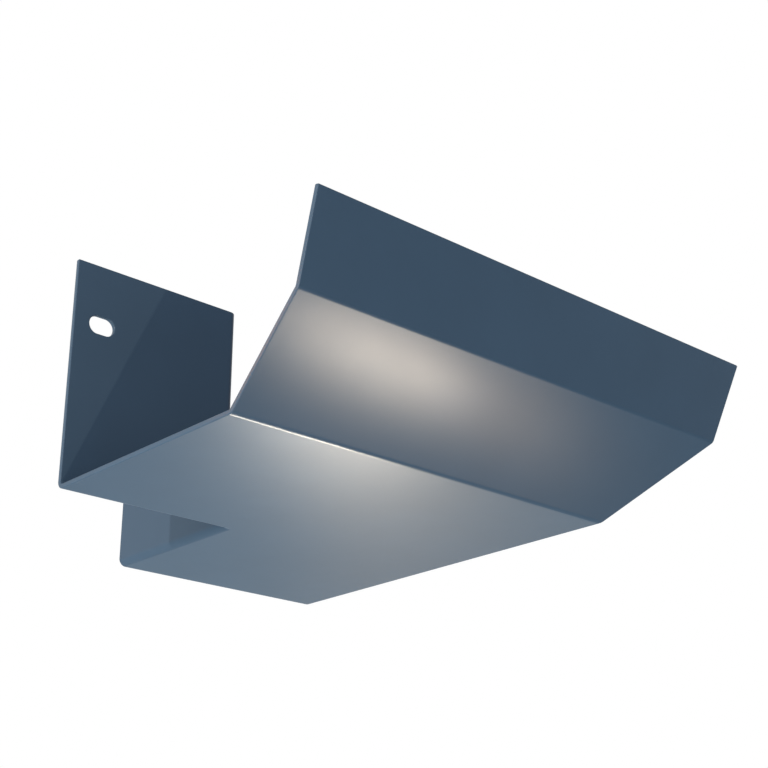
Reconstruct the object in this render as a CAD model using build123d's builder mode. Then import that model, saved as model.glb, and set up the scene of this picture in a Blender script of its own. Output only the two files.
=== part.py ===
from build123d import *
import os

# External corner of a folded sheet metal gutter.
# It goes round the outside corner of a house: the walls fill -X -Y, leg 1 runs along Y against
# the wall that faces +X, and leg 2 runs along X against the wall that faces +Y. The origin is
# where the edge of that corner of the walls meets the level of the gutter's underside.

# Driving dimensions, in millimetres and degrees, to the outside of the folds
sheet = 1.5
inside_bend_radius = 1.1
leg_length = 60.0  # free end of a leg to the wall that the other leg stands against
base_width = 85.0  # wall to the bend where the front starts to rise
back_height = 75.5
slope_length = 37.5
slope_angle = 45.0  # above level
lip_length = 27.5
lip_lean = 15.0  # outwards, from upright
slot_length = 9.0  # overall, along the back plate
slot_height = 6.0
slot_from_end = 10.0  # middle of the slot to the free end of its leg
slot_from_top = 20.0  # middle of the slot to the top of the back plate

outside_bend_radius = inside_bend_radius + sheet
overlong_leg = leg_length + base_width + slope_length + lip_length

# The legs meet in the upright plane that halves the corner of the walls
mitre = Plane(origin=(0, 0, 0), x_dir=(0, 0, 1), z_dir=(1, -1, 0))


def step(length, angle):
    """A step of this length away from the wall, at this angle above level."""
    return Vector(length, 0).rotate(Axis.Z, angle)


with BuildPart() as gutter_corner:
    # Section at the free end of leg 1: the outer line of the folds, thickened inwards
    with BuildSketch(Plane.XZ.offset(leg_length)) as section:
        with BuildLine() as folds:
            back_top = Vector(0, back_height)
            back_foot = Vector(0, 0)
            base_edge = Vector(base_width, 0)
            slope_top = base_edge + step(slope_length, slope_angle)
            lip_top = slope_top + step(lip_length, 90 - lip_lean)
            FilletPolyline(back_top, back_foot, base_edge, slope_top, lip_top, radius=outside_bend_radius)
            offset(amount=sheet, side=Side.LEFT)
        make_face()
    extrude(amount=-overlong_leg)

    # Screw slot through the back plate
    with BuildSketch(Plane.YZ) as screw_slot:
        with Locations((slot_from_end - leg_length, back_height - slot_from_top)):
            SlotOverall(slot_length, slot_height)
    extrude(amount=sheet, mode=Mode.SUBTRACT)

    # Cut to the mitre, then the same leg again on its other side
    split(bisect_by=mitre, keep=Keep.TOP)
    mirror(about=mitre)

    # One upright bend joins the back plates and runs down into the two folds at their feet.
    # It is rounded on the wall's side, then on the trough's side.
    for from_wall, radius in ((0, inside_bend_radius), (sheet, outside_bend_radius)):
        halfway_up = (from_wall, from_wall, back_height / 2)
        upright_edge = gutter_corner.edges().filter_by(Axis.Z).sort_by_distance(halfway_up)[0]
        fillet(upright_edge, radius)

gutter_corner.part.label = "gutter_corner"
os.makedirs("parts", exist_ok=True)
export_step(gutter_corner.part, "parts/gutter_corner.step")
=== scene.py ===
# %% [markdown]
# # A corner of a folded gutter
# The part is one piece of painted sheet metal. It carries an eaves gutter round the outside
# corner of a house, and the photograph looks up at it from below. This lesson folds the sheet,
# closes its mitre, softens its cut edges, paints it and lights it.
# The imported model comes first, because it gives the real place of every face.

# %% Load the frame
from math import cos, pi, radians, sin, tan

import bmesh
import bpy
from mathutils import Matrix, Vector


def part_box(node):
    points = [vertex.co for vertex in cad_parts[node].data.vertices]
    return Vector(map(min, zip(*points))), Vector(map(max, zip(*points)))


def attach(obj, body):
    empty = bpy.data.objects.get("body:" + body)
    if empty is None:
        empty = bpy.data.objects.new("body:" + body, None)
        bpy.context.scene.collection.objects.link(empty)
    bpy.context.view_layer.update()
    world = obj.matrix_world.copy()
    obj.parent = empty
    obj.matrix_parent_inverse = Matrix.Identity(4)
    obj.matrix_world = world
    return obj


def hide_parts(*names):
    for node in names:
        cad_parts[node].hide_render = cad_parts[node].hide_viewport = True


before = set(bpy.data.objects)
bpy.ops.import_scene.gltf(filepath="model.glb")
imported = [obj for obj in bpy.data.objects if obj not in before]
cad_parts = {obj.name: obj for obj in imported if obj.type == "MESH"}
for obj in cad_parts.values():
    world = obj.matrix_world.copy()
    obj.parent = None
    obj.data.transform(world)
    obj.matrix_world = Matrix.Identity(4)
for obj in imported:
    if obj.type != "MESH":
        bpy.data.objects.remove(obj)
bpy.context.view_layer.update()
corner_low, corner_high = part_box("gutter_corner")
print("frame box", tuple(corner_low), tuple(corner_high))

# %% [markdown]
# ## Sizes
# A folded part is described the way a sheet metal worker would: the thickness of the sheet, the
# radius of its bends, and the length and angle of each flat between two bends. The length of
# the legs and the height of the back are read from the frame, and the rest is written here.
# Everything is in metres, because that is Blender's own unit.

# %% Sizes of the sheet
mm = 0.001
touching = 0.001 * mm  # points closer than this are one point
sheet = 1.5 * mm
inside_radius = 1.1 * mm
outside_radius = inside_radius + sheet
leg_length = -corner_low.x
back_height = corner_high.z
base_width = 85 * mm
slope_length = 37.5 * mm
slope_angle = radians(45)
lip_length = 27.5 * mm
lip_angle = radians(75)
front_reach = base_width + slope_length * cos(slope_angle) + lip_length * cos(lip_angle)
print("front reaches %.2f mm, box %.2f mm" % (front_reach / mm, corner_high.x / mm))

# %% [markdown]
# ## The camera
# The photograph was taken from below and from the side, with a moderately long lens: the
# lines of the two legs run together only a little. Its place is the one from which the straight
# edges of the part fall on those of the photograph, to within a pixel and a half. A camera in
# Blender looks along its own -Z, and to_track_quat turns it so.

# %% The camera
azimuth = radians(47.838)
elevation = radians(-22.018)
towards_camera = Vector((
    sin(azimuth) * cos(elevation),
    -cos(azimuth) * cos(elevation),
    sin(elevation),
))
camera_data = bpy.data.cameras.new("camera")
camera_data.lens = 70.3
camera_data.sensor_width = 36
camera_data.clip_start = 0.01
camera_data.clip_end = 50
camera = bpy.data.objects.new("camera", camera_data)
camera.location = Vector((376.54, -271.18, -136.5)) * mm
camera.rotation_euler = (-towards_camera).to_track_quat("-Z", "Y").to_euler()
bpy.context.scene.collection.objects.link(camera)
bpy.context.scene.camera = camera
print("camera at", tuple(camera.location))

# %% [markdown]
# ## The section, folded flat by flat
# On the bench the sheet is bent flat by flat, and the model is made in the same order. A
# single short edge stands for the thickness of the sheet at the top of the back plate. It is
# pushed along for each flat, and spun about the middle of each bend, and it leaves the section
# behind it as a row of faces. Spinning keeps both sides of a bend truly round. A bevel on a
# drawn corner would do the same, but it would need the right radius on each side.

# %% A helper that follows the sheet
def points_in(items):
    """The points among what an operator returns."""
    return [item for item in items if isinstance(item, bmesh.types.BMVert)]


def edges_in(items):
    """The edges among what an operator returns."""
    return [item for item in items if isinstance(item, bmesh.types.BMEdge)]


class FoldedStrip:
    """The section of the sheet, drawn by moving the edge that stands for its thickness."""

    def __init__(self, start, heading):
        """Start at the outer side of the sheet. The inner side lies to the left of the heading."""
        self.mesh = bmesh.new()
        self.heading = heading
        outer = self.mesh.verts.new(start)
        inner = self.mesh.verts.new(start + self.left() * sheet)
        self.edge = self.mesh.edges.new((outer, inner))

    def ahead(self):
        return Vector((cos(self.heading), 0, sin(self.heading)))

    def left(self):
        return Vector((-sin(self.heading), 0, cos(self.heading)))

    def flat(self, length):
        """A flat stretch of this length."""
        made = bmesh.ops.extrude_edge_only(self.mesh, edges=[self.edge])["geom"]
        corners = points_in(made)
        bmesh.ops.translate(self.mesh, verts=corners, vec=self.ahead() * length)
        self.edge = next(edge for edge in edges_in(made) if set(edge.verts) == set(corners))

    def bend(self, angle, steps):
        """A bend to the left about a point on the inner side of the sheet."""
        outer = min(self.edge.verts, key=lambda point: point.co.dot(self.left()))
        made = bmesh.ops.spin(
            self.mesh, geom=[self.edge, *self.edge.verts], axis=(0, -1, 0),
            cent=outer.co + self.left() * outside_radius, angle=angle, steps=steps)
        self.edge = edges_in(made["geom_last"])[0]
        self.heading += angle


print("the strip can go straight and bend")


# %% The section of leg 1
def bend_takes(angle):
    """What a bend of this angle takes from the flat on each side of it."""
    return outside_radius * tan(angle / 2)


foot_turn = radians(90)
base_turn = slope_angle
lip_turn = lip_angle - slope_angle
straight_down = radians(-90)
strip = FoldedStrip(Vector((0, -leg_length, back_height)), straight_down)
strip.flat(back_height - bend_takes(foot_turn))
strip.bend(foot_turn, steps=12)
strip.flat(base_width - bend_takes(foot_turn) - bend_takes(base_turn))
strip.bend(base_turn, steps=8)
strip.flat(slope_length - bend_takes(base_turn) - bend_takes(lip_turn))
strip.bend(lip_turn, steps=6)
strip.flat(lip_length - bend_takes(lip_turn))
part = strip.mesh
bmesh.ops.remove_doubles(part, verts=part.verts[:], dist=touching)
print("the section has", len(part.faces), "faces")

# %% [markdown]
# ## The leg, its mitre and the other leg
# The section is pushed past the corner, cut at the upright plane that halves it, and mirrored
# in that plane. The cut is left open, so the two halves join into one skin with no wall inside.
# Two flats that lie in one plane, such as the two halves of the base, need no line between
# them: it is dissolved, and the base becomes one L-shaped face.

# %% Push, cut and mirror
past_the_mitre = leg_length + 1.2 * front_reach  # so that even the lip reaches it
pushed = bmesh.ops.extrude_face_region(part, geom=part.faces[:])["geom"]
bmesh.ops.translate(part, verts=points_in(pushed), vec=(0, past_the_mitre, 0))
bmesh.ops.bisect_plane(part, geom=part.verts[:] + part.edges[:] + part.faces[:],
                       plane_co=(0, 0, 0), plane_no=(-1, 1, 0), clear_outer=True, dist=touching)
bmesh.ops.mirror(part, geom=part.verts[:] + part.edges[:] + part.faces[:],
                 matrix=Matrix.Rotation(radians(-45), 4, "Z"), axis="Y", merge_dist=touching)
bmesh.ops.remove_doubles(part, verts=part.verts[:], dist=touching)
bmesh.ops.recalc_face_normals(part, faces=part.faces[:])
print("open edges", sum(edge.is_boundary for edge in part.edges))


# %% Join the flats that lie in one plane
def is_on_mitre(edge):
    """True for an edge in the plane that halves the corner."""
    return all(abs(point.co.x - point.co.y) < touching for point in edge.verts)


as_good_as_flat = radians(0.01)
level_seams = [edge for edge in part.edges
               if is_on_mitre(edge) and edge.calc_face_angle() < as_good_as_flat]
bmesh.ops.dissolve_edges(part, edges=level_seams)
print("joined", len(level_seams), "pairs of flats")

# %% [markdown]
# ## The upright bend
# The two back plates meet in a bend as round as the folds, and it fades into the folds at
# their feet. On each side of the sheet it is a bevel along a chain of edges on the mitre, from
# the top of the plates down to where the fold meets the base. The chain is found by walking
# down from the long upright edge. The wall's side gets the inside radius of a bend, and the
# trough's side gets the outside radius, so the thickness of the sheet stays the same.

# %% Bevel both sides of the upright bend
def down_the_mitre(mesh, from_wall):
    """The chain of edges that starts with the upright one at this distance from the walls."""
    upright = [edge for edge in mesh.edges if is_on_mitre(edge)
               and all(abs(point.co.x - from_wall) < touching for point in edge.verts)]
    chain = [max(upright, key=lambda edge: edge.calc_length())]
    foot = min(chain[0].verts, key=lambda point: point.co.z)
    while True:
        lower = [edge for edge in foot.link_edges
                 if is_on_mitre(edge) and edge.other_vert(foot).co.z < foot.co.z - touching / 10]
        if not lower:
            return chain
        chain.append(lower[0])
        foot = lower[0].other_vert(foot)


for from_wall, radius in ((0, inside_radius), (sheet, outside_radius)):
    bmesh.ops.bevel(part, geom=down_the_mitre(part, from_wall), offset=radius,
                    offset_type="OFFSET", affect="EDGES", segments=8, profile=0.5, material=-1)
print("faces after the upright bend", len(part.faces))

# %% [markdown]
# ## Rims
# Sheet that has been cut and painted never keeps a knife edge: the paint rounds it a little,
# and each rim catches a thin line of light. Every outward edge that turns by more than a
# bend's facets do gets a bevel of 0.3 mm. Inward edges, such as the mitre on the trough's
# side, stay sharp, as they are where two folds meet.

# %% Round the cut rims
rim_radius = 0.3 * mm
rim_steps = 3
least_rim_turn = radians(20)
rims = [edge for edge in part.edges
        if edge.is_convex and edge.calc_face_angle() > least_rim_turn]
bmesh.ops.bevel(part, geom=rims, offset=rim_radius, offset_type="OFFSET", affect="EDGES",
                segments=rim_steps, profile=0.5, material=-1)
print("rounded", len(rims), "edges")

# %% [markdown]
# ## Screw slots
# A round-ended slot near the free end of each back plate takes the screw into the wall. On
# the bench it is punched. Here each side of the plate loses its big face and gets it back round
# a slot: a circle whose two halves slide apart, a narrow ring of clean four-sided faces
# around it, and triangles from there to the plate's outline. A boolean would cut the same
# hole, but it leaves long slivers, and the rim could not be bevelled evenly afterwards.

# %% A ring with two round ends
slot_length = 9 * mm
slot_height = 6 * mm
slot_from_end = 10 * mm
slot_from_top = 20 * mm
slot_steps = 32
ring_width = 1 * mm


def round_ended_ring(mesh, place, radius):
    """A circle in the plane of this place, with its halves slid apart to the slot's length."""
    half_step = pi / slot_steps
    ring = bmesh.ops.create_circle(
        mesh, segments=slot_steps, radius=radius / cos(half_step),
        matrix=place @ Matrix.Rotation(half_step, 4, "Z"))["verts"]
    along = place.to_3x3() @ Vector((1, 0, 0))
    for side in (-1, 1):
        half = [point for point in ring if (point.co - place.translation).dot(along) * side > 0]
        bmesh.ops.translate(mesh, verts=half, vec=along * side * (slot_length - slot_height) / 2)
    return list({edge for point in ring for edge in point.link_edges})


print("a ring has", slot_steps, "steps")


# %% Open both back plates
least_plate_area = (50 * mm) ** 2


def biggest_face(mesh, along, across, depth):
    """The plate's big face at this depth from the wall, on the leg that runs along this way."""
    middle = across * depth - along * leg_length / 2
    facing = [face for face in mesh.faces if abs(face.normal.dot(across)) > 0.99]
    big = [face for face in facing if face.calc_area() > least_plate_area]
    return min(big, key=lambda face: (face.calc_center_median() - middle).to_2d().length)


up = Vector((0, 0, 1))
along_leg_1 = Vector((0, 1, 0))
along_leg_2 = Vector((1, 0, 0))
for along, across in ((along_leg_1, along_leg_2), (along_leg_2, along_leg_1)):
    edges_of_slot = []
    for depth in (0, sheet):
        face = biggest_face(part, along, across, depth)
        outline = list(face.edges)
        bmesh.ops.delete(part, geom=[face], context="FACES_ONLY")
        place = Matrix((along, up, along.cross(up))).transposed().to_4x4()
        place.translation = (along * (slot_from_end - leg_length) + across * depth
                             + up * (back_height - slot_from_top))
        inner = round_ended_ring(part, place, slot_height / 2)
        outer = round_ended_ring(part, place, slot_height / 2 + ring_width)
        bmesh.ops.bridge_loops(part, edges=inner + outer)
        bmesh.ops.triangle_fill(part, use_beauty=True, edges=outer + outline)
        edges_of_slot += inner
    bmesh.ops.bridge_loops(part, edges=edges_of_slot)
    bmesh.ops.recalc_face_normals(part, faces=part.faces[:])
    bmesh.ops.bevel(part, geom=edges_of_slot, offset=rim_radius, offset_type="OFFSET",
                    affect="EDGES", segments=rim_steps, profile=0.5, material=-1)
print("closed:", all(edge.is_manifold for edge in part.edges),
      "volume %.2f cm3" % (part.calc_volume() / mm ** 3 / 1000))

# %% [markdown]
# ## From a mesh to an object
# The mesh becomes an object that stays at the origin, with its place in its points. It is
# shaded smooth, so that the short facets of a bend read as one curve, and only the inward
# mitre is marked sharp. A Weighted Normal modifier lets the big flats decide how their corners
# are shaded. Without it, a bend would pull the shading of the flat beside it out of true.

# %% The painted corner
mesh_of_corner = bpy.data.meshes.new("painted_gutter_corner")
part.to_mesh(mesh_of_corner)
part.free()
for polygon in mesh_of_corner.polygons:
    polygon.use_smooth = True
smooth_up_to = radians(33)  # the facets of a rim turn by up to 30 degrees
mesh_of_corner.set_sharp_from_angle(angle=smooth_up_to)
painted_corner = bpy.data.objects.new("painted_gutter_corner", mesh_of_corner)
bpy.context.scene.collection.objects.link(painted_corner)
flat_first = painted_corner.modifiers.new("flats_decide_the_shading", "WEIGHTED_NORMAL")
flat_first.mode = "FACE_AREA"
flat_first.keep_sharp = True
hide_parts("gutter_corner")
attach(painted_corner, "root")
print("painted corner has", len(mesh_of_corner.polygons), "faces")

# %% [markdown]
# ## Powder coat
# The finish is a satin powder coat in a dark blue grey. Powder melts into a skin with a soft
# orange-peel ripple, a little finer grain on top of it, and small changes of depth that shift
# its colour and gloss by a few percent. All of that comes from noise textures on Object
# coordinates, at the size it has on a real part, so nothing slides or stretches. The strength
# of the reflection is low and the same all over, so it is set on the shader's own socket. The
# colour and the roughness were fitted to the photograph by a program, together with the lamps,
# and rounded. Those fits left that strength open, from a quarter of an ordinary paint's to
# nearly all of it, and it is held at a quarter. The noises are given one by one.

# %% Helpers for shader nodes
noise_low, noise_high = 0.3, 0.7  # nearly all of a noise lies between these


def new_node(tree, kind, **values):
    """A node of this kind, with its options and then its sockets set by name."""
    node = tree.nodes.new(kind)
    for name, value in values.items():
        if hasattr(node, name):
            setattr(node, name, value)
        else:
            node.inputs[name.replace("_", " ")].default_value = value
    return node


def new_noise(tree, place, size, detail):
    """Noise with features of about this size, in metres."""
    noise = new_node(tree, "ShaderNodeTexNoise", Scale=1 / size, Detail=detail, Roughness=0.5)
    tree.links.new(place, noise.inputs["Vector"])
    return noise.outputs["Fac"]


def new_range(tree, value, low, high):
    """A noise, spread over these values."""
    spread = new_node(tree, "ShaderNodeMapRange", From_Min=noise_low, From_Max=noise_high,
                      To_Min=low, To_Max=high)
    tree.links.new(value, spread.inputs["Value"])
    return spread.outputs["Result"]


print("helpers for nodes are ready")

# %% The paint
paint_colour = (0.036, 0.066, 0.106)
paint = bpy.data.materials.new("satin_powder_coat")
paint.use_nodes = True
nodes = paint.node_tree
nodes.nodes.clear()
place_on_part = nodes.nodes.new("ShaderNodeTexCoord").outputs["Object"]
coat = new_node(nodes, "ShaderNodeBsdfPrincipled", IOR=1.5, Specular_IOR_Level=0.124)
output = nodes.nodes.new("ShaderNodeOutputMaterial")
nodes.links.new(coat.outputs["BSDF"], output.inputs["Surface"])

cloud_size = 22 * mm
darkest, palest = 0.97, 1.03  # times the colour of the paint
tones = nodes.nodes.new("ShaderNodeValToRGB")
low_stop, high_stop = tones.color_ramp.elements
for stop, position, depth in ((low_stop, noise_low, darkest), (high_stop, noise_high, palest)):
    stop.position = position
    stop.color = tuple(depth * channel for channel in paint_colour) + (1,)
clouds = new_noise(nodes, place_on_part, cloud_size, detail=3)
nodes.links.new(clouds, tones.inputs["Fac"])
nodes.links.new(tones.outputs["Color"], coat.inputs["Base Color"])
print("paint", paint.name)

# %% Gloss, orange peel and grain
paint_roughness = 0.31
roughness_swing = 0.005
gloss_cloud_size = 9 * mm
ripple_size = 1.8 * mm
grain_size = 0.4 * mm
share_of_grain = 0.15
height_of_skin = 0.001 * mm
cloudy_gloss = new_noise(nodes, place_on_part, gloss_cloud_size, detail=2)
roughness = new_range(nodes, cloudy_gloss, low=paint_roughness - roughness_swing,
                      high=paint_roughness + roughness_swing)
nodes.links.new(roughness, coat.inputs["Roughness"])
orange_peel = new_noise(nodes, place_on_part, ripple_size, detail=1)
grain = new_noise(nodes, place_on_part, grain_size, detail=1)
skin = new_node(nodes, "ShaderNodeMix", data_type="FLOAT", Factor=share_of_grain)
nodes.links.new(orange_peel, skin.inputs["A"])
nodes.links.new(grain, skin.inputs["B"])
bump = new_node(nodes, "ShaderNodeBump", Strength=1.0, Distance=height_of_skin)
nodes.links.new(skin.outputs["Result"], bump.inputs["Height"])
nodes.links.new(bump.outputs["Normal"], coat.inputs["Normal"])
mesh_of_corner.materials.append(paint)
print("roughness about", paint_roughness)

# %% [markdown]
# ## Floor and background
# The part hangs well above a wide pale floor, because the photograph looks up at its
# underside. The floor is round, so that its far edge looks level from every side. A sun lamp in
# a later cell lights the part from below, so the floor casts no shadow of its own, and it still
# catches the part's. The background is white for the camera and in reflections. That comes from
# the world's colour at strength 1, chosen with the Light Path node. Other rays see a soft blue
# grey, which is the light that fills the shadows.

# %% The floor
floor_level = -0.6
floor_radius = 8
floor_mesh = bpy.data.meshes.new("floor")
floor_shape = bmesh.new()
bmesh.ops.create_circle(floor_shape, cap_ends=True, segments=64, radius=floor_radius)
bmesh.ops.translate(floor_shape, verts=floor_shape.verts[:], vec=(0, 0, floor_level))
floor_shape.to_mesh(floor_mesh)
floor_shape.free()
floor = bpy.data.objects.new("floor", floor_mesh)
bpy.context.scene.collection.objects.link(floor)
floor_paint = bpy.data.materials.new("pale_floor")
floor_paint.use_nodes = True
floor_coat = floor_paint.node_tree.nodes["Principled BSDF"]
floor_coat.inputs["Base Color"].default_value = (0.8, 0.8, 0.8, 1)
floor_coat.inputs["Roughness"].default_value = 0.9
floor_mesh.materials.append(floor_paint)
floor.visible_shadow = False
print("floor at", floor_level)

# %% The world
fill_colour = (0.18, 0.375, 0.52, 1)
white_colour = (1, 1, 1, 1)
world = bpy.data.worlds.new("studio")
bpy.context.scene.world = world
world.use_nodes = True
sky = world.node_tree
sky.nodes.clear()
light_path = sky.nodes.new("ShaderNodeLightPath")
sees_white = light_path.outputs["Is Camera Ray"]
for ray in ("Is Glossy Ray", "Is Transmission Ray"):
    either = new_node(sky, "ShaderNodeMath", operation="MAXIMUM")
    sky.links.new(sees_white, either.inputs[0])
    sky.links.new(light_path.outputs[ray], either.inputs[1])
    sees_white = either.outputs["Value"]
fill = new_node(sky, "ShaderNodeBackground", Color=fill_colour, Strength=1.0)
white = new_node(sky, "ShaderNodeBackground", Color=white_colour, Strength=1.0)
choose = sky.nodes.new("ShaderNodeMixShader")
sky.links.new(sees_white, choose.inputs["Fac"])
sky.links.new(fill.outputs["Background"], choose.inputs[1])
sky.links.new(white.outputs["Background"], choose.inputs[2])
world_output = sky.nodes.new("ShaderNodeOutputWorld")
sky.links.new(choose.outputs["Shader"], world_output.inputs["Surface"])
print("world", world.name)

# %% [markdown]
# ## Lamps that light the paint
# Three sun lamps send parallel light. One from below and in front draws the slanting shadow on
# the back plate: the end of the base cuts it off there. One stands behind and one above, so
# that the sides that the photograph doesn't show are lit as evenly. A small bright lamp in
# front draws the upright shadow that one back plate throws on the other, and two wide ones
# soften all of these. Four of them are left out of reflections, where they would show as spots.
# The strength of a lamp is given as the light that it has in each colour, and a helper turns
# that into Blender's power and colour. These strengths, and the world's fill, were solved for by
# a program that added up renders of each lamp alone to fit the photograph, and rounded. Only
# those of the lamps above and behind were chosen by trial. So were the places of all six, and
# those that draw a shadow put its edge where the photograph has it.

# %% Helpers for lamps
middle_of_front = (60, 20, 15)


def add_lamp(name, kind, brightness, power_of_one, mirrored):
    """A lamp with this brightness in each colour. The camera doesn't see it."""
    data = bpy.data.lights.new(name, kind)
    strongest = max(brightness)
    data.energy = strongest * power_of_one
    data.color = tuple(channel / strongest for channel in brightness)
    lamp = bpy.data.objects.new(name, data)
    lamp.visible_camera = False
    lamp.visible_glossy = mirrored
    bpy.context.scene.collection.objects.link(lamp)
    return lamp


def add_sun(name, towards, brightness, spread, mirrored=True):
    """Parallel light. Brightness 1 shows a facing surface in its own colour."""
    sun = add_lamp(name, "SUN", brightness, pi, mirrored)
    sun.data.angle = radians(spread)
    sun.rotation_euler = Vector(towards).to_track_quat("Z", "Y").to_euler()
    return sun


def add_oval_lamp(name, place, half_sizes, brightness, target=middle_of_front, roll=0,
                  mirrored=True):
    """An oval lamp at this place, turned towards its target, all in millimetres."""
    area = pi * half_sizes[0] * half_sizes[1] * mm ** 2
    lamp = add_lamp(name, "AREA", brightness, pi * area, mirrored)
    lamp.data.shape = "ELLIPSE"
    lamp.data.size, lamp.data.size_y = (2 * half * mm for half in half_sizes)
    lamp.location = Vector(place) * mm
    facing = (Vector(place) - Vector(target)).to_track_quat("Z", "Y").to_matrix()
    lamp.rotation_euler = (facing @ Matrix.Rotation(radians(roll), 3, "Z")).to_euler()
    return lamp


print("lamps look at", middle_of_front)

# %% Lamps that light the paint
add_sun("sun_from_below", towards=(1, -1, -2.27), brightness=(0.585, 0.46, 0.34), spread=1)
add_sun("sun_from_above", towards=(-0.25, 0.25, 0.93), brightness=(0.42, 0.4, 0.38), spread=12,
        mirrored=False)
add_sun("sun_from_behind", towards=(-1, 1, 0.3), brightness=(0.4, 0.4, 0.4), spread=20,
        mirrored=False)
add_oval_lamp("small_lamp_in_front", place=(219, -500, 60), half_sizes=(5, 5),
              brightness=(8870, 7100, 6150))
add_oval_lamp("wide_lamp_in_front", place=(60, -560, 30), half_sizes=(150, 150),
              brightness=(10.4, 6.8, 4.4), mirrored=False)
add_oval_lamp("wide_lamp_below", place=(-100, -350, -400), half_sizes=(120, 120),
              brightness=(9.7, 9.7, 9.7), mirrored=False)

# %% [markdown]
# ## Lamps that are mirrored in the paint
# The photograph shows a soft warm glow on the slope and a paler one on the base, and both run
# out in long tails. They are mirror images of lamps, blurred by the satin paint. Each is
# made with an oval lamp for its bright middle and another for its tail, and a faint one warms
# the cut end of the slope. They are hidden from diffuse rays, so they only shine in the gloss
# and don't change the colour of the paint around it. Those that stand close to the part are
# turned towards their own face with a narrow spread, which keeps them off the rest of it. A
# narrow spread also gathers the light, so such a lamp needs less brightness. The places, sizes,
# turns and strengths of the two glows and their tails were fitted to the photograph by a
# program too, and rounded, and the strengths of the glows then changed a little. These
# lamps make the light less plain than that of an ordinary studio, and they suit the
# photograph's side best. The spreads and the faint lamp are given one by one.

# %% Lamps that are mirrored in the paint
middle_of_slope = (98, -10, 13)
middle_of_base = (70, -40, 0)
middle_of_cut_end = (98, -60, 13)
full_spread = 180


def add_glow(name, place, half_sizes, brightness, target, roll, spread):
    """An oval lamp that only shines in the gloss, within this spread in degrees."""
    lamp = add_oval_lamp(name, place, half_sizes, brightness, target, roll)
    lamp.data.spread = radians(spread)
    lamp.visible_diffuse = False


add_glow("glow_on_slope", place=(155, 44.5, -66.5), half_sizes=(37.5, 7),
         brightness=(38.5, 32, 25), target=middle_of_slope, roll=34.5, spread=96)
add_glow("tail_on_slope", place=(209, 223, -165), half_sizes=(7, 6.5),
         brightness=(370, 285, 205), target=middle_of_front, roll=37, spread=full_spread)
add_glow("glow_on_base", place=(-38, 79, -118.5), half_sizes=(30.5, 43.5),
         brightness=(7.6, 6.9, 5.9), target=middle_of_base, roll=55.5, spread=80)
add_glow("tail_on_base", place=(-440, 567, -487), half_sizes=(94, 215),
         brightness=(7.1, 5.15, 2.95), target=middle_of_front, roll=-36, spread=full_spread)
add_glow("glow_on_cut_end", place=(-39, -184, 88), half_sizes=(25, 25),
         brightness=(0.29, 0.12, 0.03), target=middle_of_cut_end, roll=0, spread=22)

# %% Finish
bpy.context.scene.view_settings.view_transform = "Standard"
